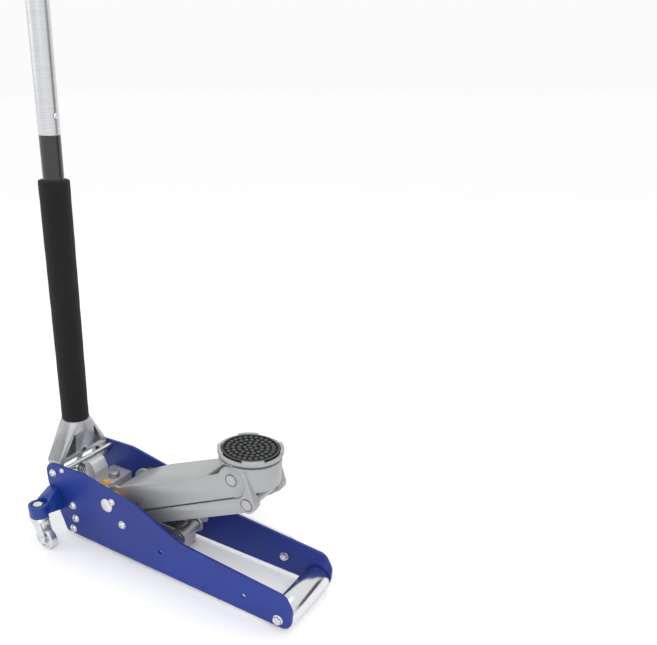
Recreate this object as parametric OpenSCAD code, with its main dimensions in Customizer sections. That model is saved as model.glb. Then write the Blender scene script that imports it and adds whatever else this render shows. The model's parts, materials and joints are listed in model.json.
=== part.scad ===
// Compact low-profile floor jack. Millimetres, +Z up, +X towards the front roller.
// The origin is on the ground under the middle of the side plates.

/* [Frame] */
// Length of the side plates
plate_length = 509; // [470:1:640]
// Clear width between the side plates
plate_gap = 122; // [116:1:150]
// Thickness of each side plate
plate_thickness = 4.5; // [4:0.5:12]
// Height of the plates' lower edge above the ground
ground_gap = 9; // [6:0.5:15]
// Height of the lift arm's pivot
arm_pivot_z = 102; // [96:1:120]
// Height of the handle's tilt axis
handle_pivot_z = 123; // [120:1:150]
// Diameter of the front roller
roller_d = 44; // [38:1:50]

/* [Lift arm] */
// Outer width of the lift arm's channel
arm_width = 78; // [72:1:88]
// Wall of the lift arm and of the link
arm_wall = 5; // [3:0.5:5]
// Angle of the arm above level, as it stands
arm_angle = 26; // [0:1:40]
// Angle of the arm when it is fully down
arm_low_angle = -12; // [-14:1:-8]
// Diameter of the shaft that carries the arm
arm_shaft_d = 25; // [20:1:26]
// Diameter of the two pins at the saddle end
front_pin_d = 16; // [12:1:18]

/* [Saddle] */
// Outer diameter of the saddle
saddle_d = 99; // [80:1:104]
// Height of the saddle's rim above its floor
saddle_rim = 7; // [5:0.5:10]

/* [Hydraulics] */
// Outer diameter of the ram cylinder
cylinder_d = 40; // [34:1:42]
// Diameter of the ram's piston
piston_d = 28; // [22:1:30]
// Diameter of the pump plunger
plunger_d = 10; // [8:0.5:10]
// Distance from the handle's tilt axis to the pump roller
pump_crank = 20; // [18:0.5:20]

/* [Handle] */
// Outer diameter of the handle tube
tube_d = 32; // [25:1:34]
// Outer diameter of the foam sleeve
foam_d = 48; // [40:1:52]
// Length of the foam sleeve
foam_length = 390; // [200:5:450]
// Length of the upper half of the handle
upper_length = 520; // [300:5:700]
// Forward lean of the handle at rest
handle_lean = 1.5; // [0:0.5:6]

/* [Casters] */
// Diameter of the rear wheels
wheel_d = 40; // [34:1:44]
// Distance between the two rear wheels
caster_track = 232; // [216:1:280]
// Trail of each rear wheel behind its swivel axis
caster_trail = 12; // [8:1:14]

/* [Hidden] */
$fn = 48;

// Fits: radial play of a turning fit, and the air between other moving faces
run = 0.05;
air = 0.5;

// Frame
rear_x = -plate_length / 2;
front_x = plate_length / 2;
inner_y = plate_gap / 2;
outer_y = inner_y + plate_thickness;
nose_r = 23;
lobe_r = 18;
roller_r = roller_d / 2;
axle_r = 8;
axle = [front_x - nose_r, roller_r];
arm_pivot = [rear_x + 146, arm_pivot_z];
shaft_r = arm_shaft_d / 2;
link_offset = [32, -28];
link_pivot = arm_pivot + link_offset;
link_bolt_r = 5;
handle_pivot = [rear_x + lobe_r, handle_pivot_z];
handle_bolt_r = 6;
tie_rod_at = handle_pivot + [24, 12];
tie_rod_r = 4;
block_bolts = [[rear_x + 60, 70], [rear_x + 64, 44], [rear_x + 55, 19]];
block_bolt_r = 4.5;
carry_r = 5.5;
carry_stud_r = 4;
carry_hole_r = 4.25;
carry_front = [axle.x - 63, 37];
carry_rear = [carry_front.x - 164, 51];
carry_reach = 42;
carry_bend = 18;
carry_span = norm(carry_front - carry_rear);
carry_slope = atan2(carry_rear.y - carry_front.y, carry_front.x - carry_rear.x);

// Saddle end of the linkage: the bracket reaches bracket_front ahead of the upper pin
arm_out = arm_width / 2;
arm_in = arm_out - arm_wall;
link_out = arm_in - 1;
link_in = link_out - arm_wall;
pin_r = front_pin_d / 2;
lobe_end_r = 25;
lobe_drop = 3;
ear_r = 14;
ear_out = arm_out + 7;
bracket_front = link_offset.x + ear_r;
body_r = saddle_d / 2 - 2;
roller_air = 17;
arm_length = (axle.x - roller_r - roller_air - bracket_front - arm_pivot.x) / cos(arm_low_angle);
upper_pin = arm_pivot + arm_length * [cos(arm_angle), sin(arm_angle)];
lower_pin = upper_pin + link_offset;
seat_low = lobe_end_r - lobe_drop + 1.5;
seat_high = seat_low + 5;
saddle_x = upper_pin.x + 8;
saddle_r = saddle_d / 2;
saddle_z = upper_pin.y + seat_high + air;
stud_r = 9;
stud_depth = 13;
pad_r = saddle_r - 6.5;
cup_floor = 5;

// Ram: the arm's drive pins hang drive_r below the arm's pivot and stand straight down at
// drive_mid, the middle of the arm's travel
drive_r = 40;
drive_mid = 16.5;
drive_pin_r = 5;
drive_angle = arm_angle - drive_mid;
drive_pin = arm_pivot + drive_r * [sin(drive_angle), -cos(drive_angle)];
ram_z = arm_pivot_z - drive_r;
cylinder_r = cylinder_d / 2;
piston_r = piston_d / 2;
rod_r = 10;
block_rear = rear_x + 42;
block_front = rear_x + 90;
block_top = 92;
bore_rear = block_front - 14;
bore_front = arm_pivot.x + 5;
gland_front = bore_front + 12;
piston_back = bore_rear + 28;
piston_length = 9;
cross_x = drive_pin.x + 115;
cross_r = 9;
cross_pin_r = 7;
link_plate = 5.5;
link_plate_in = cylinder_r + 1;
drive_swing = 28.5;
drive_slot = drive_r * (1 - cos(drive_swing)) + 0.6;
spring_z = 33;
spring_y = 13;
spring_r = 5.5;

// Pump: the pump roller swings from pump_swing behind straight down to pump_swing ahead of it
pump_swing = 30;
pump_roller_r = 7;
pump_pin_r = 4;
pump_at = handle_pivot + pump_crank * [-sin(pump_swing), -cos(pump_swing)];
plunger_z = handle_pivot_z - pump_crank * (1 + cos(pump_swing)) / 2;
plunger_back = pump_at.x + pump_roller_r + 0.3;
plunger_r = plunger_d / 2;
nose_tube_r = plunger_r + 1.5;
coil_r = nose_tube_r + 1.9;
tower_rear = rear_x + 50;
tower_half = 17;
tower_top = handle_pivot_z + 13;
valve_r = 5;
ball_r = 7;

// Handle, in the yoke's own frame: origin on the tilt axis, +Z up the tube
yoke_half = inner_y - 1;
cheek = 11;
socket_top = 86;
socket_low = 22;
screw_z = socket_top - 8;
tube_r = tube_d / 2;
tube_bore = tube_r - 2.5;
collar_r = tube_r + 9;
foam_low = socket_top + 1;
foam_high = foam_low + foam_length;
lower_top = foam_high + 60;
spigot_bore = tube_bore - 2.5;
upper_high = lower_top + upper_length;
button_z = lower_top + 25;
button_r = 4;

// Casters
wheel_r = wheel_d / 2;
wheel_half = 7;
caster_y = caster_track / 2;
stem_x = rear_x + 26;
stem_r = 5;
eye_r = 17;
eye_low = wheel_d + 24;
eye_high = eye_low + 22;
recess = 6;
bracket_bolts = [[rear_x + 13, 82], [rear_x + 25, 64]];
bracket_bolt_r = 4;
dome_top = eye_low - air;
fork_gap = wheel_half + 1;
fork_wall = 2.5;
caster_rivet_r = 4;

// ---- Helpers ----

function unit(v) = v / norm(v);

// Arc that rounds the corner b between a and c; b[2] is its radius
function corner(a, b, c) =
    let (at = [b[0], b[1]], u = unit([a[0], a[1]] - at), v = unit([c[0], c[1]] - at))
    let (half = acos(u * v) / 2, centre = at + unit(u + v) * b[2] / sin(half))
    let (s = at + u * b[2] / tan(half) - centre, e = at + v * b[2] / tan(half) - centre)
    let (from = atan2(s.y, s.x), turn = (atan2(e.y, e.x) - from + 540) % 360 - 180)
    b[2] == 0 ? [at] : [for (k = [0:4]) let (t = from + turn * k / 4) centre + b[2] * [cos(t), sin(t)]];

// Closed outline with each [x, z, radius] corner rounded
function rounded(p) = let (n = len(p)) [for (k = [0:n - 1]) each corner(p[(k + n - 1) % n], p[k], p[(k + 1) % n])];

// Places the children at [x, z] with their Z axis along Y
module on_side(at, y = 0) { translate([at.x, y, at.y]) rotate([90, 0, 0]) children(); }

// Cylinder across the jack, centred on y
module rod(at, r, length, y = 0) { on_side(at, y) cylinder(r = r, h = length, center = true); }

// Flat plate with an XZ outline, between two y values
module slab(y_low, y_high) { translate([0, y_high, 0]) rotate([90, 0, 0]) linear_extrude(y_high - y_low) children(); }

// The children and their mirror image across the middle plane
module both_sides() {
    children();
    mirror([0, 1, 0]) children();
}

// Button-head screw on the outer face of the right plate, with its shank inwards
module side_bolt(at, head_r, head_h, shank_r, shank) {
    translate([at.x, -outer_y, at.y]) rotate([90, 0, 0]) {
        cylinder(r = head_r, h = head_h * 0.6);
        translate([0, 0, head_h * 0.6]) cylinder(r1 = head_r, r2 = head_r * 0.7, h = head_h * 0.4);
        translate([0, 0, -shank]) cylinder(r = shank_r, h = shank);
    }
}

// The handle's own frame
module at_handle() { translate([handle_pivot.x, 0, handle_pivot.y]) rotate([0, handle_lean, 0]) children(); }

// The arm's own frame: origin on the arm's pivot, +X along the arm
module at_arm() { translate([arm_pivot.x, 0, arm_pivot.y]) rotate([0, -arm_angle, 0]) children(); }
module at_link() { translate([link_pivot.x, 0, link_pivot.y]) rotate([0, -arm_angle, 0]) children(); }

// ---- Frame ----

plate_outline = [
    [rear_x + 38, ground_gap, 4],
    [rear_x + 2.5, 98, 10],
    [rear_x, handle_pivot_z + 19, 20],
    [rear_x + 96, handle_pivot_z + 21.5, 40],
    [rear_x + 214, arm_pivot_z + 20.5, 60],
    [rear_x + 300, arm_pivot_z - 17, 80],
    [front_x - 14, 69.5, 18],
    [front_x, 46, 24],
    [front_x - 1, ground_gap, 16]
];

module side_plate() {
    difference() {
        slab(-outer_y, -inner_y) polygon(rounded(plate_outline));
        rod(axle, axle_r, 3 * outer_y);
        rod(arm_pivot, shaft_r, 3 * outer_y);
        rod(arm_pivot + keeper_offset, 3, 3 * outer_y);
        rod(link_pivot, link_bolt_r, 3 * outer_y);
        rod(handle_pivot, handle_bolt_r, 3 * outer_y);
        rod(tie_rod_at, tie_rod_r, 3 * outer_y);
        for (at = block_bolts) rod(at, block_bolt_r, 3 * outer_y);
        for (at = bracket_bolts) rod(at, bracket_bolt_r, 3 * outer_y);
        for (at = [carry_front, carry_rear]) rod(at, carry_hole_r, 3 * outer_y);
    }
}
module right_side_plate() { color("royalblue") side_plate(); }
module left_side_plate() { color("royalblue") mirror([0, 1, 0]) side_plate(); }

module front_axle() {
    color("silver") difference() {
        rod(axle, axle_r, 2 * outer_y);
        both_sides() rod(axle, 4, 24, -outer_y + 11);
    }
}
module front_axle_bolts() { color("silver") both_sides() side_bolt(axle, 8.5, 5.5, 4, 20); }

keeper_r = 6.5;
keeper_offset = (shaft_r + 3.2) * [cos(40), sin(40)];
shaft_proud = 2.5;

module arm_pivot_shaft() {
    color("silver") difference() {
        rod(arm_pivot, shaft_r, 2 * (outer_y + shaft_proud));
        both_sides() rod(arm_pivot + keeper_offset, keeper_r + 0.3, 2 * shaft_proud, -outer_y - shaft_proud);
    }
}
module pivot_keepers() { color("silver") both_sides() side_bolt(arm_pivot + keeper_offset, keeper_r, 4.5, 3, plate_thickness - 1); }
module link_shoulder_bolts() {
    color("silver") both_sides() side_bolt(link_pivot, 7.6, 5, link_bolt_r, outer_y - link_in + 0.8);
}
module power_unit_bolts() {
    color("silver") both_sides() for (at = block_bolts) side_bolt(at, 7.8, 5, block_bolt_r, plate_thickness + 16);
}
module handle_pivot_bolts() {
    color("silver") both_sides() side_bolt(handle_pivot, 7.6, 5, handle_bolt_r, plate_thickness + cheek + 1);
}
module tie_rod() {
    color("silver") difference() {
        rod(tie_rod_at, tie_rod_r, 2 * outer_y);
        both_sides() rod(tie_rod_at, 2, 20, -outer_y + 9);
    }
}
module tie_rod_screws() { color("silver") both_sides() side_bolt(tie_rod_at, 4.8, 3.5, 2, 15); }

// ---- Hydraulic unit ----

barrel_r = nose_tube_r + 4;
tower_front = block_front - 16.5;
valve_tip = tower_rear + 14;
plunger_tip = tower_rear + 0.8;
plunger_stroke = pump_crank + 1;

module power_unit() {
    color("dimgray") difference() {
        union() {
            slab(-inner_y, inner_y) polygon(rounded([
                [block_rear, 12, 3], [block_rear, block_top, 4],
                [block_front, block_top, 2], [block_front, 12, 3]
            ]));
            slab(-tower_half, tower_half) polygon(rounded([
                [tower_rear, block_top - 10, 0], [tower_rear, tower_top, 4],
                [tower_front - 8, tower_top, 8], [tower_front, tower_top - 18, 4],
                [tower_front, block_top - 10, 0]
            ]));
            translate([tower_rear - 9, 0, plunger_z]) rotate([0, 90, 0]) cylinder(r = nose_tube_r, h = 12);
            translate([block_front - 3, 0, ram_z]) rotate([0, 90, 0])
                cylinder(r = cylinder_r, h = bore_front - block_front + 3);
        }
        translate([bore_rear, 0, ram_z]) rotate([0, 90, 0]) cylinder(r = piston_r + run, h = bore_front - bore_rear + 1);
        translate([tower_rear - 20, 0, plunger_z]) rotate([0, 90, 0])
            cylinder(r = plunger_r + run, h = plunger_tip + plunger_stroke + 20.5 - tower_rear);
        translate([tower_rear - 1, 0, handle_pivot_z]) rotate([0, 90, 0])
            cylinder(r = valve_r + run, h = valve_tip + 3 - tower_rear);
        both_sides() for (at = block_bolts) rod(at, block_bolt_r, 20, -inner_y + 7);
        translate([plug_at.x, plug_at.y, block_top - 12]) cylinder(r = 5, h = 20);
        translate([cap_at.x, cap_at.y, block_top - 12]) cylinder(r = 7, h = 20);
    }
}
plug_at = [block_front - 8, 0];
cap_at = [block_front - 13, tower_half + 11];

module ram_gland() {
    color("silver") difference() {
        translate([bore_front, 0, ram_z]) rotate([0, 90, 0]) cylinder(r = cylinder_r - 1.5, h = gland_front - bore_front);
        translate([bore_front - 1, 0, ram_z]) rotate([0, 90, 0]) cylinder(r = rod_r + run, h = 30);
    }
}
module filler_plug() {
    color("gold") translate([plug_at.x, plug_at.y, block_top]) {
        translate([0, 0, -10]) cylinder(r = 5, h = 11);
        cylinder(r = 8, h = 3);
        cylinder(r = 6, h = 6, $fn = 6);
    }
}
module relief_valve_cap() {
    color("lightgray") translate([cap_at.x, cap_at.y, block_top]) {
        translate([0, 0, -10]) cylinder(r = 7, h = 11);
        cylinder(r = 10, h = 9);
        translate([0, 0, 9]) cylinder(r1 = 10, r2 = 8, h = 2);
    }
}
module ram_piston() {
    color("silver") {
        translate([piston_back, 0, ram_z]) rotate([0, 90, 0]) cylinder(r = piston_r, h = piston_length);
        translate([piston_back, 0, ram_z]) rotate([0, 90, 0]) cylinder(r = rod_r, h = cross_x - cross_r - piston_back);
    }
}
module crosshead() {
    color("silver") difference() {
        union() {
            rod([cross_x, ram_z], cross_r + 2, 2 * link_plate_in - 1);
            translate([cross_x - cross_r - 8, 0, ram_z]) rotate([0, 90, 0]) cylinder(r = rod_r + 3, h = 12);
            slab(-spring_y - 5, spring_y + 5) polygon([
                [cross_x - 3, ram_z], [cross_x - 3, spring_z - 5], [cross_x + 3, spring_z - 5], [cross_x + 3, ram_z]
            ]);
        }
        rod([cross_x, ram_z], cross_pin_r, 200);
        translate([cross_x - cross_r - 20, 0, ram_z]) rotate([0, 90, 0]) cylinder(r = rod_r, h = 20);
        for (y = [-spring_y, spring_y])
            translate([cross_x - 10, y, spring_z]) rotate([0, 90, 0]) cylinder(r = 2, h = 20);
    }
}
module crosshead_pin() { color("silver") rod([cross_x, ram_z], cross_pin_r, 2 * (link_plate_in + link_plate) + 1.5); }

module drive_links() {
    eye_z = ram_z + drive_slot / 2;
    color("silver") both_sides() difference() {
        union() {
            rod([cross_x, ram_z], 14, link_plate, -link_plate_in - link_plate / 2);
            rod([drive_pin.x, eye_z], 12.5, link_plate, -link_plate_in - link_plate / 2);
            slab(-link_plate_in - link_plate, -link_plate_in) polygon([
                [drive_pin.x, ram_z - 8], [drive_pin.x, ram_z + 10], [cross_x, ram_z + 9], [cross_x, ram_z - 9]
            ]);
        }
        rod([cross_x, ram_z], cross_pin_r, 200);
        for (z = [ram_z, ram_z + drive_slot]) rod([drive_pin.x, z], drive_pin_r + 0.6, 200);
        translate([drive_pin.x - drive_pin_r - 0.6, -100, ram_z]) cube([2 * drive_pin_r + 1.2, 200, drive_slot]);
    }
}

// Closed coil with straight ends that hook on the block and on the crosshead
module return_springs() {
    coil_low = block_front + 26;
    coil_high = cross_x - 34;
    color("gray") for (y = [-spring_y, spring_y]) translate([0, y, spring_z]) rotate([0, 90, 0]) {
        difference() {
            translate([0, 0, coil_low]) cylinder(r = spring_r, h = coil_high - coil_low);
            translate([0, 0, coil_low + 2]) cylinder(r = spring_r - 2, h = coil_high - coil_low - 4);
        }
        translate([0, 0, block_front]) cylinder(r = 1.2, h = 27);
        translate([0, 0, coil_high - 1]) cylinder(r = 1.2, h = cross_x - coil_high + 6);
    }
}
module pump_plunger() {
    color("silver") translate([0, 0, plunger_z]) rotate([0, 90, 0]) {
        translate([0, 0, plunger_back]) cylinder(r = coil_r + 1.4, h = 4);
        translate([0, 0, plunger_back]) cylinder(r = plunger_r, h = plunger_tip - plunger_back);
    }
}
module plunger_spring() {
    turns = 6;
    low = plunger_back + 5.2;
    pitch = (tower_rear - 1.2 - low) / (turns - 1);
    color("gray") for (k = [0:turns - 1]) translate([low + k * pitch, 0, plunger_z]) rotate([0, 90, 0])
        rotate_extrude() translate([coil_r, 0]) circle(r = 1, $fn = 16);
}
module release_valve() {
    color("silver") {
        translate([handle_pivot.x, 0, handle_pivot_z]) sphere(r = ball_r);
        translate([handle_pivot.x, 0, handle_pivot_z]) rotate([0, 90, 0]) cylinder(r = valve_r, h = valve_tip - handle_pivot.x);
    }
}

// ---- Roller and linkage ----

roller_half = inner_y - 1;
bush_r = axle_r + 4;
bush_length = 22;

module front_roller() {
    color("gainsboro") difference() {
        rod(axle, roller_r, 2 * roller_half);
        rod(axle, bush_r, 200);
    }
}
module roller_bushes() {
    color("goldenrod") both_sides() difference() {
        rod(axle, bush_r, bush_length, -roller_half + bush_length / 2);
        rod(axle, axle_r + run, 200);
    }
}

// Arm, in its own frame: the side's outline, the drive lug and the lobe round the upper pin
arm_top_mid = [75, 20.5];
arm_top_front = [arm_length - 34, 12];
arm_plate_end = arm_length - 46;
arm_bush_r = shaft_r + 4.5;
drive_local = drive_r * [-sin(drive_mid), -cos(drive_mid)];

function arm_top(x) = arm_top_mid.y + (arm_top_front.y - arm_top_mid.y) * (x - arm_top_mid.x) / (arm_top_front.x - arm_top_mid.x);

module arm_side() {
    slab(-arm_out, -arm_in) {
        polygon(rounded([
            [-18, -10, 8], [6, 18, 3], [arm_top_mid.x, arm_top_mid.y, 30], [arm_top_front.x, arm_top_front.y, 12],
            [arm_length - 12, 14, 6], [arm_length, 0, 0], [arm_length - 4, -26.5, 0],
            [20, -27, 5], [-6, -24, 5]
        ]));
        circle(r = 23);
        translate([arm_length, -lobe_drop]) circle(r = lobe_end_r);
        translate(drive_local) circle(r = 8.5);
        rotate(-drive_mid) translate([-8, -drive_r]) square([16, drive_r]);
    }
}
module lift_arm() {
    color("silver") at_arm() difference() {
        union() {
            both_sides() arm_side();
            slab(-arm_in, arm_in) polygon([
                [6, 18], arm_top_mid, [arm_plate_end, arm_top(arm_plate_end)],
                [arm_plate_end, arm_top(arm_plate_end) - arm_wall], arm_top_mid - [0, arm_wall], [6, 18 - arm_wall]
            ]);
        }
        rod([0, 0], arm_bush_r, 200);
        rod([arm_length, 0], pin_r, 200);
        clip_seats([arm_length, 0], arm_out);
        rod(drive_local, drive_pin_r, 200);
        rotate([90, 0, 0]) rotate_extrude(start = -94, angle = 76)
            translate([norm(link_offset) - link_bolt_r - 1, -arm_width]) square([2 * link_bolt_r + 2, 2 * arm_width]);
    }
}
module arm_bushes() {
    color("goldenrod") both_sides() difference() {
        rod(arm_pivot, arm_bush_r, inner_y - 1 - arm_in, -(inner_y - 1 + arm_in) / 2);
        rod(arm_pivot, shaft_r + run, 200);
    }
}
module arm_drive_pins() {
    reach = arm_out - link_plate_in;
    color("silver") both_sides() rod(drive_pin, drive_pin_r, reach, -arm_out + reach / 2);
}
module upper_pivot_pin() { color("silver") pin_with_grooves(upper_pin, arm_out); }
module upper_pin_clips() { color("silver") clips(upper_pin, arm_out); }

pin_proud = 0.4;
clip_deep = 0.9;
clip_thick = 1;

module pin_with_grooves(at, half) {
    difference() {
        rod(at, pin_r, 2 * (half + pin_proud));
        both_sides() difference() {
            rod(at, pin_r + 1, clip_thick + 0.2, -half + clip_deep);
            rod(at, pin_r - 1, 3, -half + clip_deep);
        }
    }
}
module clips(at, half) {
    both_sides() difference() {
        rod(at, pin_r + 2, clip_thick, -half + clip_deep);
        rod(at, pin_r - 1, 3, -half + clip_deep);
        translate([at.x - 3, -half - 2, at.y + pin_r - 2]) cube([6, 6, 6]);
    }
}

// Counterbores that the snap rings lie in
module clip_seats(at, half) { both_sides() rod(at, pin_r + 2.6, 2 * (clip_deep + clip_thick / 2 + 0.2), -half); }

module link_side() {
    slab(-link_out, -link_in) {
        polygon(rounded([
            [0, 9, 0], [40, 8, 30], [arm_length - 20, 8, 10], [arm_length, 13, 0],
            [arm_length, -13, 0], [arm_length - 14, -17, 10], [36, -17, 12], [0, -9, 0]
        ]));
        circle(r = 9);
        translate([arm_length, 0]) circle(r = 13);
    }
}
module link_channel() {
    color("silver") at_link() difference() {
        union() {
            both_sides() link_side();
            slab(-link_in - 1, link_in + 1) polygon([
                [110, -17], [110, -12], [arm_length - 34, -12], [arm_length - 34, -17]
            ]);
        }
        rod([0, 0], link_bolt_r + run, 200);
        rod([arm_length, 0], pin_r + run, 200);
    }
}

boss_half = link_in - 0.5;
cheek_in = link_out + 0.6;

module saddle_bracket() {
    u = upper_pin;
    sweep = lobe_end_r + lobe_drop + 0.5;
    color("silver") difference() {
        union() {
            translate([saddle_x, 0, u.y + seat_low]) cylinder(r = body_r, h = seat_high - seat_low, $fn = 96);
            intersection() {
                translate([saddle_x, 0, u.y - 10]) cylinder(r = body_r, h = seat_high + 8, $fn = 96);
                translate([u.x + 12, -100, u.y - 40]) cube([100, 200, 100]);
            }
            both_sides() {
                slab(-ear_out, -cheek_in) translate(u) polygon([
                    [link_offset.x - 16, seat_low + 1], [link_offset.x - 4, seat_low + 1],
                    [link_offset.x + 13, link_offset.y + 3], [link_offset.x - 13, link_offset.y - 3]
                ]);
                rod(lower_pin, ear_r, ear_out - cheek_in, -(ear_out + cheek_in) / 2);
            }
            slab(-boss_half, boss_half) translate(u) {
                circle(r = 17);
                polygon([[-15, 4], [-15, seat_high - 1], [40, seat_high - 1], [40, -10], [36, -10], [14, -6]]);
            }
        }
        both_sides() rod(u, sweep, ear_out - cheek_in + 4, -(ear_out + cheek_in) / 2);
        rod(u, pin_r + run, 200);
        rod(lower_pin, pin_r, 200);
        clip_seats(lower_pin, ear_out);
        translate([saddle_x, 0, u.y + seat_high - stud_depth]) cylinder(r = stud_r + run, h = 30);
    }
}
module lower_pivot_pin() { color("silver") pin_with_grooves(lower_pin, ear_out); }
module lower_pin_clips() { color("silver") clips(lower_pin, ear_out); }

cup_top = cup_floor + saddle_rim;
tab_angle = -53;
tab_width = 32;
rim_drop = 3;

module saddle_cup() {
    color("silver") translate([saddle_x, 0, saddle_z]) {
        difference() {
            union() {
                rotate_extrude($fn = 96) polygon([
                    [0, 0], [saddle_r - 10, 0], [saddle_r - 2, 3], [saddle_r, 7], [saddle_r, cup_top],
                    [saddle_r - 5, cup_top], [saddle_r - 5, cup_floor], [0, cup_floor]
                ]);
                translate([0, 0, -stud_depth - air + 1]) cylinder(r = stud_r, h = stud_depth + air);
            }
            for (k = [0:3]) rotate(tab_angle + 90 * k)
                translate([tab_width / 2, tab_width / 2, cup_top - rim_drop]) cube([60, 60, 6]);
        }
    }
}
module saddle_pad() {
    color("black") translate([saddle_x, 0, saddle_z + cup_floor]) cylinder(r = pad_r, h = saddle_rim, $fn = 96);
}

// ---- Handle ----

module yoke_pocket(side) {
    x = side > 0 ? 3 : -43;
    translate([x, 0, 0]) rotate([90, 0, 90]) linear_extrude(40)
        polygon(rounded([[22, 26, 2], [47, 26, 3], [22, 71, 2]]));
}
module handle_yoke() {
    cheek_mid = -(yoke_half - cheek / 2);
    pump_local = pump_at - handle_pivot;
    color("gainsboro") difference() {
        union() {
            at_handle() {
                hull() {
                    translate([0, 0, socket_top - 17]) cylinder(r = collar_r, h = 17);
                    translate([-16, -yoke_half, 16]) cube([29, 2 * yoke_half, 6]);
                }
                both_sides() slab(-yoke_half, -yoke_half + cheek)
                    polygon([[-15, 5], [-15, 18], [12.5, 18], [12.5, 9], [-8, 9]]);
            }
            both_sides() {
                rod(handle_pivot, 16, cheek, cheek_mid);
                rod(pump_at, 7.5, cheek, cheek_mid);
                slab(-yoke_half, -yoke_half + cheek) translate(handle_pivot) polygon([
                    [-15, -2], pump_local + [-6, 2], pump_local + [6, -2], [12, -9], [0, -9]
                ]);
            }
        }
        at_handle() {
            translate([0, 0, socket_low]) cylinder(r = tube_r + run, h = socket_top);
            translate([0, 0, 0]) cylinder(r = 10, h = socket_top);
            for (side = [-1, 1]) both_sides() yoke_pocket(side);
            translate([0, 0, screw_z]) rotate([-90, 0, 0]) {
                cylinder(r = 4, h = 60);
                translate([0, 0, collar_r + 0.2]) cylinder(r = 8, h = 30);
            }
        }
        rod(handle_pivot, handle_bolt_r + run, 200);
        rod(pump_at, pump_pin_r, 200);
    }
}
module pump_roller() {
    color("silver") difference() {
        rod(pump_at, pump_roller_r, 24);
        rod(pump_at, pump_pin_r + run, 200);
    }
}
module pump_roller_pin() { color("silver") rod(pump_at, pump_pin_r, 2 * yoke_half); }
module handle_lock_screw() {
    color("silver") at_handle() translate([0, 0, screw_z]) rotate([-90, 0, 0]) {
        translate([0, 0, tube_r - 0.8]) cylinder(r = 4, h = collar_r - tube_r + 2);
        translate([0, 0, collar_r + 0.2]) cylinder(r = 6, h = 5, $fn = 6);
    }
}
module lower_tube() {
    color("black") at_handle() difference() {
        translate([0, 0, socket_low + 1]) cylinder(r = tube_r, h = lower_top - socket_low - 1);
        translate([0, 0, socket_low]) cylinder(r = tube_bore, h = lower_top);
        translate([0, 0, screw_z - 5]) difference() {
            cylinder(r = tube_r + 1, h = 10);
            cylinder(r = tube_r - 1.3, h = 10);
        }
    }
}
module release_driver() {
    color("silver") at_handle() {
        translate([0, 0, socket_low + 1]) cylinder(r = tube_bore, h = 12);
        translate([0, 0, ball_r + 1.5]) cylinder(r = 7, h = socket_low);
    }
}
module foam_grip() {
    color("black") at_handle() difference() {
        translate([0, 0, foam_low]) cylinder(r = foam_d / 2, h = foam_length);
        translate([0, 0, foam_low - 1]) cylinder(r = tube_r, h = foam_length + 2);
    }
}
module handle_spigot() {
    color("silver") at_handle() difference() {
        translate([0, 0, lower_top - 60]) cylinder(r = tube_bore, h = 120);
        translate([0, 0, lower_top - 61]) cylinder(r = spigot_bore, h = 122);
        translate([0, 0, button_z]) rotate([0, 90, 0]) cylinder(r = button_r + run, h = 40);
    }
}
module upper_tube() {
    color("gainsboro") at_handle() difference() {
        translate([0, 0, lower_top + 0.2]) cylinder(r = tube_r, h = upper_length);
        translate([0, 0, lower_top]) cylinder(r = tube_bore, h = upper_length + 1);
        translate([0, 0, button_z]) rotate([0, 90, 0]) cylinder(r = button_r + 0.4, h = 40);
    }
}
module handle_end_cap() {
    color("black") at_handle() translate([0, 0, upper_high + 0.2]) {
        cylinder(r = tube_r + 0.6, h = 4);
        translate([0, 0, 4]) cylinder(r1 = tube_r + 0.6, r2 = tube_r - 2, h = 2);
        translate([0, 0, -20]) cylinder(r = tube_bore, h = 21);
    }
}
module snap_button() {
    color("silver") at_handle() translate([0, 0, button_z]) rotate([0, 90, 0]) {
        translate([0, 0, spigot_bore - 4]) cylinder(r = button_r, h = tube_r + 1.2 - spigot_bore + 4);
        translate([0, 0, tube_r + 1.2]) cylinder(r1 = button_r, r2 = button_r - 1.5, h = 1.5);
    }
}

// ---- Carry handle, on the left plate ----

module carry_frame() {
    translate([carry_rear.x, inner_y, carry_rear.y]) rotate([0, carry_slope, 0]) children();
}
module carry_handle() {
    reach = plate_thickness + carry_reach;
    color("gainsboro") carry_frame() {
        for (x = [0, carry_span]) translate([x, 0, 0]) rotate([-90, 0, 0]) {
            translate([0, 0, -6]) cylinder(r = carry_stud_r, h = 7 + plate_thickness);
            translate([0, 0, plate_thickness]) cylinder(r = carry_r, h = carry_reach - carry_bend);
        }
        translate([carry_bend, reach, 0]) rotate([0, 90, 0]) cylinder(r = carry_r, h = carry_span - 2 * carry_bend);
        translate([carry_bend, reach - carry_bend, 0]) rotate_extrude(start = 90, angle = 90)
            translate([carry_bend, 0]) circle(r = carry_r);
        translate([carry_span - carry_bend, reach - carry_bend, 0]) rotate_extrude(start = 0, angle = 90)
            translate([carry_bend, 0]) circle(r = carry_r);
    }
}
module carry_handle_nuts() {
    color("silver") carry_frame() for (x = [0, carry_span]) translate([x, 0, 0]) rotate([90, 0, 0]) difference() {
        union() {
            cylinder(r = 7.5, h = 1.2);
            cylinder(r = 6.6, h = 5.5, $fn = 6);
        }
        translate([0, 0, -1]) cylinder(r = carry_stud_r, h = 10);
    }
}

// ---- Casters ----

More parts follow.
